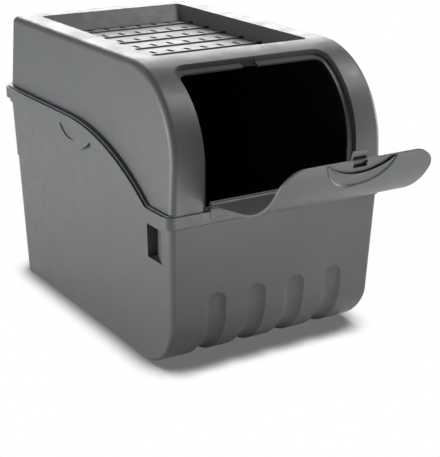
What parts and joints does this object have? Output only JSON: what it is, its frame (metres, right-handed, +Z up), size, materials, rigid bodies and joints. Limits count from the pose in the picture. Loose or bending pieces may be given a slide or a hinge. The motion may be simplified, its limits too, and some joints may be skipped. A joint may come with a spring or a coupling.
{
  "type": "potato storage bin",
  "caption": "Dark plastic storage bin for potatoes: a tub with a lift-off hood, a curved front flap and a recessed, vented top.",
  "frame": {"origin": "centre of the face the tub stands on", "axes": "+X to the right seen from the front, -Y to the front where the flap opens, +Z up"},
  "size_m": [0.222, 0.4409, 0.26],
  "materials": {
    "tub_plastic": "fine moulded texture, anthracite",
    "hood_plastic": "fine moulded texture, anthracite",
    "rail_plastic": "fine moulded texture, anthracite",
    "flap_plastic": "smooth moulded, anthracite"
  },
  "bodies": {
    "tub": {"bin": "tub_plastic"},
    "lid": {"hood": "hood_plastic", "hinge_rail": "rail_plastic"},
    "door": {"flap": "flap_plastic"}
  },
  "joints": [
    {"name": "hood_lift", "type": "slide", "parent": "tub", "child": "lid", "axis": [0, 0, 1], "range_m": [0, 0.08]},
    {"name": "flap_hinge", "type": "hinge", "parent": "lid", "child": "door", "pos_m": [0, -0.1695, 0.1515], "axis": [-1, 0, 0], "range_deg": [0, 92]}
  ]
}
